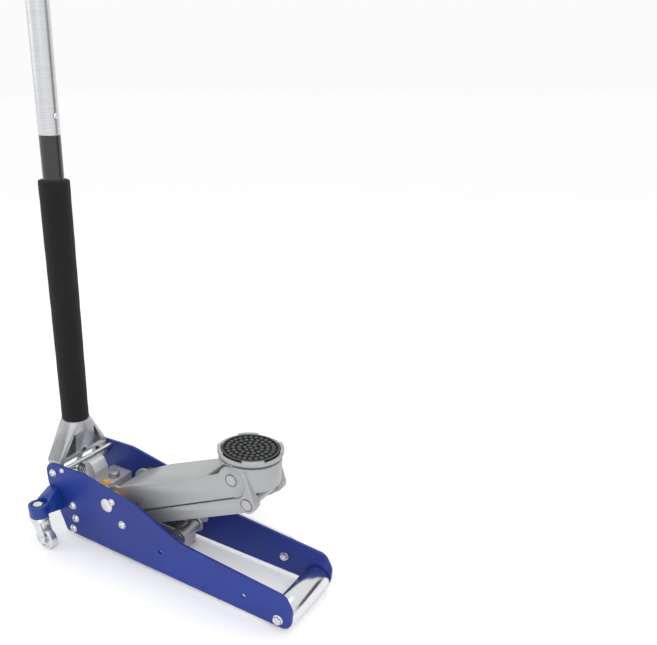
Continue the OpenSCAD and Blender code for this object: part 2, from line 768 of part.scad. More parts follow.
module caster_bracket() {
    stem = [stem_x, -caster_y];
    color("blue") difference() {
        union() {
            hull() {
                slab(-outer_y - 5, -outer_y) polygon([
                    [rear_x + 20, 52], [rear_x + 5, 94], [rear_x + 26, 96], [rear_x + 38, 58]
                ]);
                translate([stem.x - 14, stem.y + 8, eye_low + 3]) cube([28, 4, eye_high - eye_low - 4]);
            }
            translate([stem.x, stem.y, eye_low]) cylinder(r = eye_r, h = eye_high - eye_low);
        }
        translate([stem.x, stem.y, eye_low - 1]) cylinder(r = stem_r, h = 60);
        for (at = bracket_bolts) rod(at, bracket_bolt_r, 20, -outer_y);
        translate([stem.x, stem.y, eye_high - recess]) cylinder(r = 11, h = 60);
        translate([stem.x - 11, stem.y, eye_high - recess]) cube([22, 9, 60]);
        translate([stem.x, stem.y + 9, eye_high - recess]) cylinder(r = 11, h = 60);
    }
}
module caster_bracket_bolts() {
    color("silver") both_sides() for (at = bracket_bolts) {
        rod(at, bracket_bolt_r, plate_thickness + 9, -inner_y - (plate_thickness + 9) / 2);
        rod(at, 6.5, 3.5, -inner_y + 1.75);
    }
}
module right_caster_bracket() { caster_bracket(); }
module left_caster_bracket() { mirror([0, 1, 0]) caster_bracket(); }

dome_low = wheel_d + 14;
stem_flange = 3.5;

module caster_stems() {
    color("silver") both_sides() translate([stem_x, -caster_y, 0]) {
        translate([0, 0, dome_low - air - stem_flange]) cylinder(r = 8, h = stem_flange);
        translate([0, 0, dome_low - air - 1]) cylinder(r = stem_r, h = eye_high - recess - dome_low + air + 2);
        translate([0, 0, eye_high - recess]) cylinder(r = 9, h = 6.5, $fn = 6);
    }
}
module caster_fork() {
    color("silver") translate([stem_x, -caster_y, 0]) difference() {
        union() {
            translate([0, 0, dome_low]) cylinder(r = 15, h = 3);
            translate([0, 0, dome_low + 3]) cylinder(r1 = 17, r2 = 13, h = dome_top - dome_low - 3);
            both_sides() slab(-fork_gap - fork_wall, -fork_gap) {
                polygon([[-12, dome_low + 1], [12, dome_low + 1], [caster_trail + 6, wheel_r + 4],
                    [caster_trail, wheel_r - 7], [caster_trail - 7, wheel_r]]);
                translate([caster_trail, wheel_r]) circle(r = 7);
            }
        }
        translate([0, 0, dome_low - 1]) cylinder(r = stem_r + run, h = 40);
        rod([caster_trail, wheel_r], caster_rivet_r, 60);
    }
}
module caster_wheel() {
    color("lightgray") translate([stem_x, -caster_y, 0]) difference() {
        rod([caster_trail, wheel_r], wheel_r, 2 * wheel_half);
        rod([caster_trail, wheel_r], caster_rivet_r + run, 60);
        both_sides() difference() {
            rod([caster_trail, wheel_r], wheel_r - 4, 4, -wheel_half);
            rod([caster_trail, wheel_r], 8, 6, -wheel_half);
        }
    }
}
module caster_rivet() {
    half = fork_gap + fork_wall;
    color("silver") translate([stem_x, -caster_y, 0]) {
        rod([caster_trail, wheel_r], caster_rivet_r, 2 * half + 2);
        both_sides() rod([caster_trail, wheel_r], caster_rivet_r + 2.5, 1.5, -half - 0.75);
    }
}
module right_caster_fork() { caster_fork(); }
module left_caster_fork() { mirror([0, 1, 0]) caster_fork(); }
module right_caster_wheel() { caster_wheel(); }
module left_caster_wheel() { mirror([0, 1, 0]) caster_wheel(); }
module right_caster_rivet() { caster_rivet(); }
module left_caster_rivet() { mirror([0, 1, 0]) caster_rivet(); }

right_side_plate();
left_side_plate();
front_axle();
front_axle_bolts();
arm_pivot_shaft();
pivot_keepers();
link_shoulder_bolts();
power_unit();
power_unit_bolts();
ram_gland();
filler_plug();
relief_valve_cap();
handle_pivot_bolts();
tie_rod();
tie_rod_screws();
right_caster_bracket();
left_caster_bracket();
caster_bracket_bolts();
caster_stems();
carry_handle();
carry_handle_nuts();
front_roller();
roller_bushes();
lift_arm();
arm_bushes();
arm_drive_pins();
upper_pivot_pin();
upper_pin_clips();
link_channel();
saddle_bracket();
lower_pivot_pin();
lower_pin_clips();
saddle_cup();
saddle_pad();
ram_piston();
crosshead();
crosshead_pin();
drive_links();
return_springs();
pump_plunger();
plunger_spring();
release_valve();
handle_yoke();
pump_roller();
pump_roller_pin();
handle_lock_screw();
lower_tube();
release_driver();
foam_grip();
handle_spigot();
upper_tube();
handle_end_cap();
snap_button();
right_caster_fork();
left_caster_fork();
right_caster_wheel();
left_caster_wheel();
right_caster_rivet();
left_caster_rivet();
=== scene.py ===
import bmesh
import bpy
import json
from math import cos, radians, sin, tau
from mathutils import Euler, Matrix, Vector

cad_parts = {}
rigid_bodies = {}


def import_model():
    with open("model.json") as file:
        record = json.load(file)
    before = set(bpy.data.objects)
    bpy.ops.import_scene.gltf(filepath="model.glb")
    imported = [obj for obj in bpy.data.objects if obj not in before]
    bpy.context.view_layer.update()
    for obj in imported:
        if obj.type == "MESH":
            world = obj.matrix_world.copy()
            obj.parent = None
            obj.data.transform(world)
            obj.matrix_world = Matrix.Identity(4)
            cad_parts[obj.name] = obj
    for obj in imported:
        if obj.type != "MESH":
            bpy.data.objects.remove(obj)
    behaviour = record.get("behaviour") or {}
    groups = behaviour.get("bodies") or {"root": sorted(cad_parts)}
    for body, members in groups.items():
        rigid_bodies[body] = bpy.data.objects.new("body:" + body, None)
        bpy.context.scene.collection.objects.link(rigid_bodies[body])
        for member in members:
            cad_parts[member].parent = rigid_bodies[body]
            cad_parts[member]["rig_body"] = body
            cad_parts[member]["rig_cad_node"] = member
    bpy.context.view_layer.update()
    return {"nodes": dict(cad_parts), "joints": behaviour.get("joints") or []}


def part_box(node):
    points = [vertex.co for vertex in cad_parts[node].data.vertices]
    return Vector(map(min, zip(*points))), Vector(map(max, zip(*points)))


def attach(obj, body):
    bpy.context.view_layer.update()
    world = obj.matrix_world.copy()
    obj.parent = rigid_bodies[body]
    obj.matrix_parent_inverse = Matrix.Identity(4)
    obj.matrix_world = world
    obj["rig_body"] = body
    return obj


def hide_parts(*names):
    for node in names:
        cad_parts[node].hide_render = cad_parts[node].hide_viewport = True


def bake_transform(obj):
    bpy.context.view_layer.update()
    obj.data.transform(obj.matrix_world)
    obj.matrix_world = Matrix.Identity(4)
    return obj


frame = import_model()
bpy.ops.object.select_all(action="DESELECT")
cad = frame["nodes"]
pivots = {j["name"]: Vector(j["pos_m"]) for j in frame["joints"] if "pos_m" in j}
turning = {j["name"]: Vector(j["axis"]) for j in frame["joints"]}
SMOOTH = radians(32)
MERGE = 0.00002
CAMERA_AT = (0.6113, -0.7705, 0.7296)
CAMERA_AWAY = radians(36.84)
CAMERA_UP = radians(30.23)
CAMERA_ROLL = radians(-0.89)


# ---- Camera, floor and light ----

def add_camera():
    back = Vector((sin(CAMERA_AWAY) * cos(CAMERA_UP), -cos(CAMERA_AWAY) * cos(CAMERA_UP), sin(CAMERA_UP)))
    bpy.ops.object.camera_add(location=CAMERA_AT)
    camera = bpy.context.object
    camera.name = "camera"
    camera.rotation_mode = "QUATERNION"
    roll = Euler((0, 0, CAMERA_ROLL)).to_quaternion()
    camera.rotation_quaternion = back.to_track_quat("Z", "Y") @ roll
    camera.data.sensor_width = 36
    camera.data.lens = 37.88
    camera.data.shift_x = 0.2003
    camera.data.shift_y = 0.2392
    camera.data.clip_start = 0.01
    bpy.context.scene.camera = camera


def add_floor():
    bpy.ops.mesh.primitive_plane_add(size=60, location=(0, 0, 0))
    floor = bpy.context.object
    floor.name = "studio_floor"
    finish = Finish("studio_floor", roughness=0.9, emission_strength=0.07)
    finish.colour = finish.mix((0.93, 0.93, 0.93), (0.96, 0.96, 0.96), finish.noise(3, detail=2))
    finish.wear(floor)
    bpy.ops.mesh.primitive_cube_add(size=1, location=(2.0, 1.9, 0.6))
    flag = bpy.context.object
    flag.name = "dark_flag"
    flag.scale = (0.02, 1.6, 0.9)
    flag.rotation_euler = (0, 0, radians(42))
    bpy.ops.object.transform_apply(location=True, rotation=True, scale=True)
    cloth = Finish("black_cloth", roughness=0.95)
    cloth.colour = cloth.mix((0.01, 0.01, 0.01), (0.02, 0.02, 0.02), cloth.noise(400))
    cloth.wear(flag)


def add_lamp(name, at, target, size, power):
    bpy.ops.object.light_add(type="AREA", location=at)
    lamp = bpy.context.object
    lamp.name = name
    lamp.data.size = size
    lamp.data.energy = power
    lamp.rotation_mode = "QUATERNION"
    lamp.rotation_quaternion = (Vector(at) - Vector(target)).to_track_quat("Z", "Y")


def add_lights():
    world = bpy.data.worlds.new("studio")
    world.use_nodes = True
    world.node_tree.nodes["Background"].inputs["Color"].default_value = (1, 1, 1, 1)
    world.node_tree.nodes["Background"].inputs["Strength"].default_value = 0.96
    bpy.context.scene.world = world
    add_lamp("key_softbox", (1.1, -1.5, 1.9), (0, 0, 0.15), 0.9, 15)
    add_lamp("fill_softbox", (-1.8, -1.2, 1.3), (0, 0, 0.2), 1.4, 3)
    add_lamp("top_softbox", (0.1, 0.6, 2.4), (0, 0, 0.1), 1.2, 5)
    bpy.context.scene.view_settings.view_transform = "Standard"


# ---- Surface finishes ----

class Amount:
    """One number that varies over a surface; sums on it add the maths nodes."""

    def __init__(self, finish, socket):
        self.finish = finish
        self.socket = socket

    def sum(self, operation, *terms, clamp=False):
        return self.finish.node("Math", {"operation": operation, "use_clamp": clamp}, dict(enumerate(terms)))

    def __add__(self, other):
        return self.sum("ADD", self, other)

    __radd__ = __add__

    def __sub__(self, other):
        return self.sum("SUBTRACT", self, other)

    def __rsub__(self, other):
        return self.sum("SUBTRACT", other, self)

    def __mul__(self, other):
        return self.sum("MULTIPLY", self, other)

    __rmul__ = __mul__

    def __truediv__(self, other):
        return self.sum("DIVIDE", self, other)

    def clipped(self):
        return self.sum("ADD", self, 0, clamp=True)

    def ramp(self, low, high):
        """0 at low and 1 at high, straight between."""
        return ((self - low) / (high - low)).clipped()


class Finish:
    """A material built in code, worn by CAD nodes and by modelled pieces."""

    def __init__(self, name, **sockets):
        self.material = bpy.data.materials.new(name)
        self.material.use_nodes = True
        self.tree = self.material.node_tree
        self.shader = self.tree.nodes["Principled BSDF"]
        self.place = self.node("TexCoord", out="Object")
        self.colour = None
        self.roughness = None
        self.metal = None
        self.height = None
        self.depth = 0.0002
        self.soft = None
        self.worn = False
        for socket, value in sockets.items():
            self.shader.inputs[socket.replace("_", " ").title().replace("Ior", "IOR")].default_value = value

    def node(self, kind, settings=None, sockets=None, out=0):
        made = self.tree.nodes.new("ShaderNode" + kind)
        for name, value in (settings or {}).items():
            setattr(made, name, value)
        for name, value in (sockets or {}).items():
            if isinstance(value, Amount):
                self.tree.links.new(value.socket, made.inputs[name])
            elif value is not None:
                made.inputs[name].default_value = value
        return Amount(self, made.outputs[out])

    def stretched(self, x, y, z):
        return self.node("Mapping", None, {"Vector": self.place, "Scale": (x, y, z)})

    def noise(self, scale, detail=3, rough=0.5, at=None):
        return self.node("TexNoise", None, {"Vector": at or self.place, "Scale": scale, "Detail": detail,
                                            "Roughness": rough})

    def cells(self, scale):
        return self.node("TexVoronoi", {"feature": "F1"}, {"Vector": self.place, "Scale": scale}, "Distance")

    def mix(self, low, high, by):
        tint = [(*c, 1) if isinstance(c, tuple) else c for c in (low, high)]
        return self.node("Mix", {"data_type": "RGBA"}, {0: by, 6: tint[0], 7: tint[1]}, 2)

    def edges(self, radius=0.0012):
        """Rounds the light on sharp edges, and gives 1 along them and 0 on the flats."""
        self.soft = self.node("Bevel", {"samples": 4}, {"Radius": radius})
        flat = self.node("NewGeometry", out="Normal")
        facing = self.node("VectorMath", {"operation": "DOT_PRODUCT"}, {0: self.soft, 1: flat}, "Value")
        return (1 - facing).ramp(0.02, 0.22)

    def wear(self, *pieces):
        """Puts the finish on the pieces, and the first time joins what was set to the shader."""
        for piece in pieces:
            piece.data.materials.clear()
            piece.data.materials.append(self.material)
        if self.worn:
            return
        self.worn = True
        normal = self.soft
        if self.height is not None:
            normal = self.node("Bump", None, {"Height": self.height, "Distance": self.depth, "Strength": 1,
                                              "Normal": normal})
        for socket, value in (("Base Color", self.colour), ("Roughness", self.roughness),
                              ("Metallic", self.metal), ("Normal", normal)):
            if value is not None:
                self.tree.links.new(value.socket, self.shader.inputs[socket])


def powder_coat(name, colour, worn, gloss, coat):
    """Sprayed and baked paint: fine orange peel, faint clouds, fine specks of dirt, edges rubbed lighter."""
    f = Finish(name, coat_weight=coat, coat_roughness=0.2, specular_ior_level=0.32)
    peel = f.noise(420, 2)
    cloud = f.noise(9, 3)
    fleck = f.noise(1600, 1).ramp(0.5, 0.72)
    rub = f.edges() * f.noise(70, 4).ramp(0.42, 0.6)
    dark = tuple(c * 0.86 for c in colour)
    light = tuple(min(1, c * 1.1) for c in colour)
    body = f.mix(dark, light, cloud.ramp(0.35, 0.68))
    f.colour = f.mix(f.mix(body, worn, fleck * 0.06), worn, rub * 0.55)
    scuff = f.noise(1, 4, 0.62, f.stretched(260, 900, 90)).ramp(0.62, 0.78)
    f.roughness = gloss + cloud * 0.08 + scuff * 0.14 + rub * 0.1
    f.height = peel + scuff * 0.15
    f.depth = 0.00008
    return f


def silver_paint(name, colour):
    """Silver-grey paint with fine metal flake over pressed steel."""
    f = Finish(name, coat_weight=0.15, coat_roughness=0.25)
    flake = f.cells(2600)
    cloud = f.noise(7, 4)
    grime = f.noise(38, 5, 0.6).ramp(0.56, 0.8)
    rub = f.edges() * f.noise(80, 3).ramp(0.4, 0.62)
    dark = tuple(c * 0.92 for c in colour)
    light = tuple(min(1, c * 1.05) for c in colour)
    body = f.mix(dark, light, cloud.ramp(0.3, 0.7))
    body = f.mix(body, (0.75, 0.76, 0.76), flake.ramp(0.35, 0.1) * 0.22)
    f.colour = f.mix(f.mix(body, (0.3, 0.3, 0.29), grime * 0.12), (0.72, 0.72, 0.71), rub * 0.5)
    f.metal = 0.35 + flake.ramp(0.35, 0.1) * 0.25
    f.roughness = 0.4 + cloud * 0.08 + grime * 0.12
    f.height = f.noise(380, 2) + flake * 0.2
    f.depth = 0.00006
    return f


def zinc_plate(name, colour=(0.74, 0.75, 0.77), rough=0.26):
    """Bright zinc on turned and pressed steel, with a faint spangle and handling marks."""
    f = Finish(name, metallic=1.0)
    spangle = f.cells(420)
    mark = f.noise(120, 5, 0.65).ramp(0.5, 0.75)
    shine = f.edges(0.0008)
    plated = f.mix(colour, tuple(c * 0.82 for c in colour), spangle * 0.5)
    f.colour = f.mix(plated, (0.62, 0.6, 0.52), mark * 0.22)
    f.roughness = rough + spangle * 0.12 + mark * 0.14 - shine * 0.06
    f.height = spangle * 0.3 + f.noise(700, 2)
    f.depth = 0.00003
    return f


def ground_chrome(name, along, colour=(0.8, 0.81, 0.83), rough=0.13):
    """Chrome over ground steel: hair lines round it, a few scratches along it."""
    f = Finish(name, metallic=1.0)
    lines = f.noise(1, 3, 0.6, f.stretched(*[3000 if k == along else 22 for k in range(3)]))
    marks = f.noise(1, 2, 0.5, f.stretched(*[60 if k == along else 1400 for k in range(3)]))
    scratch = marks.ramp(0.68, 0.74)
    f.edges(0.0008)
    f.colour = f.mix(colour, tuple(c * 0.8 for c in colour), lines.ramp(0.4, 0.65))
    f.roughness = rough + lines * 0.12 + scratch * 0.2
    f.height = lines + scratch * 0.4
    f.depth = 0.00001
    return f


def sand_cast(name, colour):
    """Die-cast metal, sand-blasted: a fine grain, darker hollows and brighter rubbed edges."""
    f = Finish(name, metallic=0.85)
    grit = f.noise(900, 4, 0.6)
    blotch = f.noise(34, 5, 0.6)
    rub = f.edges(0.0022)
    tone = f.mix(tuple(c * 0.8 for c in colour), colour, blotch.ramp(0.32, 0.62))
    f.colour = f.mix(f.mix(tone, tuple(c * 0.6 for c in colour), grit.ramp(0.55, 0.8) * 0.5),
                     tuple(min(1, c * 1.22) for c in colour), rub * 0.7)
    f.roughness = 0.42 + grit * 0.16 - rub * 0.12
    f.height = grit + blotch * 1.5
    f.depth = 0.00022
    return f


def moulded(name, colour, rough, grain=700, depth=0.00006, **sockets):
    """Moulded rubber or plastic with a fine mould texture and faint scuffs."""
    f = Finish(name, **sockets)
    skin = f.noise(grain, 3, 0.6)
    cloud = f.noise(20, 4)
    rub = f.edges(0.001)
    f.colour = f.mix(f.mix(tuple(c * 0.75 for c in colour), tuple(min(1, c * 1.25) for c in colour), cloud),
                     tuple(min(1, c * 1.5 + 0.03) for c in colour), rub * 0.4)
    f.roughness = rough + skin * 0.14 - cloud * 0.05
    f.height = skin
    f.depth = depth
    return f


def foam_skin():
    """Closed-cell foam sleeve: pits of many sizes, darkest at their centres as painted shade, matt, slightly
    greyed where hands rub.
    """
    f = Finish("foam_skin", sheen_weight=0.06, sheen_roughness=0.5, specular_ior_level=0.2)
    pits = f.cells(520).ramp(0.02, 0.45)
    fine = f.cells(1500).ramp(0.05, 0.5)
    cloud = f.noise(16, 5, 0.6)
    # Painted shade: the colour is darkest at the pit centres, where the bump sinks lowest.
    f.colour = f.mix(f.mix((0.004, 0.004, 0.004), (0.013, 0.013, 0.0135), pits * fine),
                     (0.02, 0.02, 0.0205), cloud.ramp(0.52, 0.75) * 0.6)
    f.roughness = 0.78 + pits * 0.1 + cloud * 0.06
    f.height = pits * 0.8 + fine * 0.4 + cloud * 0.3
    f.depth = 0.0004
    return f


def studded_rubber(low, high):
    """Black rubber, with painted light making the faces of its studs grey and painted shade making the
    grooves between them black.
    """
    f = Finish("studded_rubber", specular_ior_level=0.3)
    height = f.node("SeparateXYZ", None, {"Vector": f.place}, "Z")
    skin = f.noise(1100, 3, 0.6)
    painted_light_by_height = height.ramp(low, high) * (0.6 + f.noise(60, 4) * 0.7)
    f.edges(0.0006)
    # Painted light and shade: the studs' faces are painted grey by their height, varied by noise, and the
    # grooves below them are painted black.
    f.colour = f.mix((0.006, 0.006, 0.006), (0.075, 0.08, 0.08), painted_light_by_height.clipped())
    f.roughness = 0.55 + skin * 0.2
    f.height = skin
    f.depth = 0.0001
    return f


# ---- Modelling helpers ----

def leave_edit():
    if bpy.context.mode != "OBJECT":
        bpy.ops.object.mode_set(mode="OBJECT")


def pick(piece):
    """Selects the piece alone and makes it the active one."""
    bpy.ops.object.select_all(action="DESELECT")
    piece.select_set(True)
    bpy.context.view_layer.objects.active = piece


def done(piece, at=(0, 0, 0), towards=(0, 0, 1), turn=0.0):
    """Leaves edit mode, turns the piece's Z axis towards a direction, and puts its place in its mesh."""
    leave_edit()
    lean = Vector((0, 0, 1)).rotation_difference(Vector(towards)).to_matrix().to_4x4()
    spin = Matrix.Rotation(turn, 4, "Z")
    piece.data.transform(Matrix.Translation(Vector(at)) @ lean @ spin @ piece.matrix_world)
    piece.matrix_world = Matrix.Identity(4)
    pick(piece)
    bpy.ops.object.shade_smooth_by_angle(angle=SMOOTH)
    bpy.ops.object.select_all(action="DESELECT")
    return piece


def turned(name, steps, sides=56):
    """Lathe work along Z: a disc drawn up step by step, steps being (height, radius).
    Where the last step meets the first, the part is a hollow ring of that section."""
    hollow = steps[0] == steps[-1]
    height, radius = steps[0]
    bpy.ops.mesh.primitive_circle_add(vertices=sides, radius=radius, location=(0, 0, height),
                                      fill_type="NOTHING" if hollow else "NGON")
    piece = bpy.context.object
    piece.name = name
    bpy.ops.object.mode_set(mode="EDIT")
    bpy.ops.mesh.select_all(action="SELECT")
    for up, out in steps[1:]:
        bpy.ops.mesh.extrude_region_move(TRANSFORM_OT_translate={"value": (0, 0, up - height)})
        bpy.ops.transform.resize(value=(out / radius, out / radius, 1), center_override=(0, 0, up))
        height, radius = up, out
    bpy.ops.mesh.select_all(action="SELECT")
    if hollow:
        bpy.ops.mesh.remove_doubles(threshold=0.000002)
    bpy.ops.mesh.normals_make_consistent(inside=False)
    return piece


def modified(piece, kind, **settings):
    """Adds a modifier and applies it."""
    leave_edit()
    pick(piece)
    modifier = piece.modifiers.new(kind.lower(), kind)
    for name, value in settings.items():
        setattr(modifier, name, value)
    bpy.ops.object.modifier_apply(modifier=modifier.name)
    return piece


def copied(piece, name, move=None):
    twin = piece.copy()
    twin.data = piece.data.copy()
    twin.name = name
    bpy.context.scene.collection.objects.link(twin)
    if move is not None:
        twin.data.transform(move)
    return twin


def joined(name, pieces):
    bpy.ops.object.select_all(action="DESELECT")
    for piece in pieces:
        piece.select_set(True)
    bpy.context.view_layer.objects.active = pieces[0]
    bpy.ops.object.join()
    pieces[0].name = name
    bpy.ops.object.select_all(action="DESELECT")
    return pieces[0]


def fitted(piece, body, finish, node):
    """The piece rides on a body, takes its finish, and stands for a CAD node."""
    finish.wear(piece)
    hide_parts(node)
    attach(piece, body)
    return piece


def softened(node, name, width):
    """A copy of a CAD node with its loose triangles merged and its edges rounded."""
    piece = cad[node].copy()
    piece.data = cad[node].data.copy()
    piece.name = name
    piece.parent = None
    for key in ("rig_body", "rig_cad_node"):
        del piece[key]
    bpy.context.scene.collection.objects.link(piece)
    pick(piece)
    bpy.ops.object.mode_set(mode="EDIT")
    bpy.ops.mesh.select_all(action="SELECT")
    bpy.ops.mesh.remove_doubles(threshold=MERGE)
    bpy.ops.mesh.dissolve_limited(angle_limit=radians(1.5))
    bpy.ops.object.mode_set(mode="OBJECT")
    modified(piece, "BEVEL", width=width, segments=2, limit_method="ANGLE", angle_limit=radians(28),
             use_clamp_overlap=True, miter_outer="MITER_ARC", harden_normals=False)
    return done(piece)


def islands(node):
    """(lowest corner, highest corner) of each separate solid in a CAD node."""
    mesh = bmesh.new()
    mesh.from_mesh(cad[node].data)
    bmesh.ops.remove_doubles(mesh, verts=mesh.verts, dist=MERGE)
    left = set(mesh.verts)
    boxes = []
    while left:
        reach = [left.pop()]
        group = []
        while reach:
            vert = reach.pop()
            group.append(vert.co.copy())
            for edge in vert.link_edges:
                other = edge.other_vert(vert)
                if other in left:
                    left.discard(other)
                    reach.append(other)
        boxes.append((Vector(map(min, zip(*group))), Vector(map(max, zip(*group)))))
    mesh.free()
    return sorted(boxes, key=lambda b: tuple(b[0]))


outer_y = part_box("right_side_plate")[0].y


# ---- Bolts and screws ----

def hex_pocket(piece, radius, low, high):
    """Cuts a hexagon socket down into a head."""
    leave_edit()
    bpy.ops.mesh.primitive_cylinder_add(vertices=6, radius=radius, depth=high - low,
                                        location=(0, 0, (low + high) / 2))
    cutter = bpy.context.object
    modified(piece, "BOOLEAN", object=cutter, operation="DIFFERENCE", solver="EXACT")
    bpy.data.objects.remove(cutter)
    return piece


def button_head():
    """A button-head screw of radius 1 and height 1: thin flange, dome and hexagon socket."""
    steps = [(0, 0.97), (0.05, 1), (0.16, 1), (0.22, 0.95), (0.24, 0.88)]
    steps += [(0.24 + 0.76 * sin(a), 0.36 + 0.52 * cos(a)) for a in (radians(15 * k) for k in range(1, 7))]
    head = turned("button_head", steps, 40)
    return done(hex_pocket(head, 0.3, 0.45, 1.5))


def hex_head():
    """A flanged hexagon bolt head of radius 1 and height 1."""
    flange = done(turned("hex_head", [(0, 0.97), (0.06, 1), (0.16, 1), (0.3, 0.86)], 40))
    bpy.ops.mesh.primitive_cylinder_add(vertices=6, radius=0.86, depth=0.86, location=(0, 0, 0.57))
    head = modified(done(bpy.context.object), "BEVEL", width=0.03, segments=2)
    crown = done(turned("crown", [(0.1, 0.9), (0.86, 0.9), (1.0, 0.72)], 40))
    modified(head, "BOOLEAN", object=crown, operation="INTERSECT", solver="EXACT")
    bpy.data.objects.remove(crown)
    return joined("hex_head", [flange, head])


def side_heads(name, node, pattern, finish):
    """One head on each end of a bolt node, seated on the outer faces of the side plates."""
    heads = []
    for k, (low, high) in enumerate(islands(node)):
        middle = (low + high) / 2
        right = middle.y < 0
        radius = (high.x - low.x) / 2
        tall = max(-low.y, high.y) + outer_y
        head = copied(pattern, f"{name}_{k}")
        head.data.transform(Matrix.Diagonal((radius, radius, tall, 1)))
        seat = (middle.x, outer_y if right else -outer_y, middle.z)
        done(head, seat, (0, -1 if right else 1, 0), turn=0.4 * k)
        heads.append(head)
    return fitted(joined(name, heads), "frame", finish, node)


# ---- Handle ----

tilt_at = pivots["handle_tilt"]
handle_up = turning["handle_twist"].normalized()


def up_handle(node):
    """(low, high, radius) of a round CAD node, measured along the handle from its tilt axis."""
    spans = []
    for vert in cad[node].data.vertices:
        offset = vert.co - tilt_at
        height = offset.dot(handle_up)
        spans.append((height, (offset - height * handle_up).length))
    return min(h for h, _ in spans), max(h for h, _ in spans), max(r for _, r in spans)


def foam_sleeve(finish):
    low, high, radius = up_handle("foam_grip")
    bore = up_handle("lower_tube")[2] + 0.0001
    steps = [(low, bore), (low, radius - 0.0022), (low + 0.0007, radius - 0.0009),
             (low + 0.002, radius - 0.0002)]
    count = 26
    for k in range(1, count):
        wobble = 0.00014 * sin(2.3 * k) + 0.0001 * sin(5.1 * k + 1)
        steps.append((low + 0.002 + (high - low - 0.004) * k / count, radius - 0.0002 + wobble))
    steps += [(high - 0.002, radius - 0.0002), (high - 0.0007, radius - 0.0009), (high, radius - 0.0022),
              (high, bore), (low, bore)]
    sleeve = done(turned("foam_sleeve", steps, 72), tilt_at, handle_up)
    fitted(sleeve, "handle", finish, "foam_grip")


def tube_end_cap(finish):
    low, high, radius = up_handle("handle_end_cap")
    tube = up_handle("upper_tube")[1]
    steps = [(low, radius - 0.0034), (tube + 0.0001, radius - 0.0034), (tube + 0.0001, radius - 0.0003),
             (tube + 0.0006, radius)]
    tall = high - tube
    steps += [(tube + tall * part, radius) for part in (0.3, 0.5)]
    steps += [(high - tall * 0.5 * (1 - sin(a)), radius * (0.62 + 0.38 * cos(a)))
              for a in (radians(18 * k) for k in range(1, 6))]
    steps += [(high - 0.0004, radius * 0.5), (high - 0.0009, radius * 0.47), (high - 0.0009, radius * 0.05)]
    fitted(done(turned("tube_end_cap", steps, 56), tilt_at, handle_up), "handle", finish,
           "handle_end_cap")


def spring_button(finish):
    low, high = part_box("snap_button")
    reach = high.x - low.x
    out = turning["button_press"] * -1
    middle = (low + high) / 2
    base = middle - out.normalized() * reach / 2
    radius = (high.y - low.y) / 2
    steps = [(0, radius * 0.92), (0.0004, radius), (reach - radius * 0.7, radius)]
    steps += [(reach - radius * 0.7 * (1 - sin(a)), max(radius * cos(a), 0.0002))
              for a in (radians(15 * k) for k in range(1, 7))]
    fitted(done(turned("spring_button", steps, 32), base, out), "snap_button", finish, "snap_button")


# ---- Springs ----

RETURN_WIRE = 0.0011
PUMP_WIRE = 0.00095
HOOK = 0.012
SPRING_TURNS = 24


def wire(name, points, radius):
    """Round wire along points."""
    curve = bpy.data.curves.new(name, "CURVE")
    curve.dimensions = "3D"
    spline = curve.splines.new("POLY")
    spline.points.add(len(points) - 1)
    for point, at in zip(spline.points, points):
        point.co = (*at, 1)
    curve.bevel_depth = radius
    curve.bevel_resolution = 2
    curve.use_fill_caps = True
    piece = bpy.data.objects.new(name, curve)
    bpy.context.scene.collection.objects.link(piece)
    pick(piece)
    bpy.ops.object.convert(target="MESH")
    return done(bpy.context.object)


def coil_points(start, end, radius, turns, per_turn=20):
    """A helix along X from start to end, whose first and last turns lie closer together."""
    points = []
    count = int(turns * per_turn)
    for k in range(count + 1):
        part = k / count
        eased = part - 0.014 * sin(tau * part)
        angle = tau * turns * part
        points.append((start.x + (end.x - start.x) * eased, start.y + radius * sin(angle),
                       start.z + radius * cos(angle)))
    return points


def return_spring_pair(finish):
    """Extension springs with a loop at each end: one on the block, one on the crosshead."""
    springs = []
    for k, (low, high) in enumerate(islands("return_springs")):
        middle = (low + high) / 2
        radius = (high.y - low.y) / 2 - RETURN_WIRE
        start = Vector((low.x + 2 * HOOK, middle.y, middle.z))
        end = Vector((high.x - 0.04, middle.y, middle.z))
        points = [(low.x + 0.001, middle.y, middle.z), (low.x + HOOK, middle.y, middle.z)]
        points += [(low.x + HOOK + HOOK * sin(a), middle.y, middle.z + radius * (1 - cos(a)))
                   for a in (radians(15 * j) for j in range(1, 6))]
        points += coil_points(start, end, radius, SPRING_TURNS)
        points += [(end.x + 0.01 * sin(a), middle.y, middle.z + radius * cos(a))
                   for a in (radians(15 * j) for j in range(1, 7))]
        points += [(high.x - 0.006, middle.y, middle.z)]
        springs.append(wire(f"return_spring_{k}", points, RETURN_WIRE))
    pair = joined("return_spring_pair", springs)
    finish.wear(pair)
    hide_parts("return_springs")
    low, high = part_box("return_springs")
    middle = (low.z + high.z) / 2
    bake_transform(pair)


def pump_return_spring(finish):
    low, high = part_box("plunger_spring")
    middle = (low + high) / 2
    radius = (high.y - low.y) / 2 - 0.001
    start = Vector((low.x + 0.001, middle.y, middle.z))
    end = Vector((high.x - 0.001, middle.y, middle.z))
    points = coil_points(start, end, radius, 6.5, 28)
    spring = wire("pump_return_spring", points, PUMP_WIRE)
    finish.wear(spring)
    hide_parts("plunger_spring")
    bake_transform(spring)


# ---- Saddle ----

STUD_TALL = 0.0027
STUD_RINGS = 5
RING_STEP = 0.0086
STUD_PITCH = 0.0084


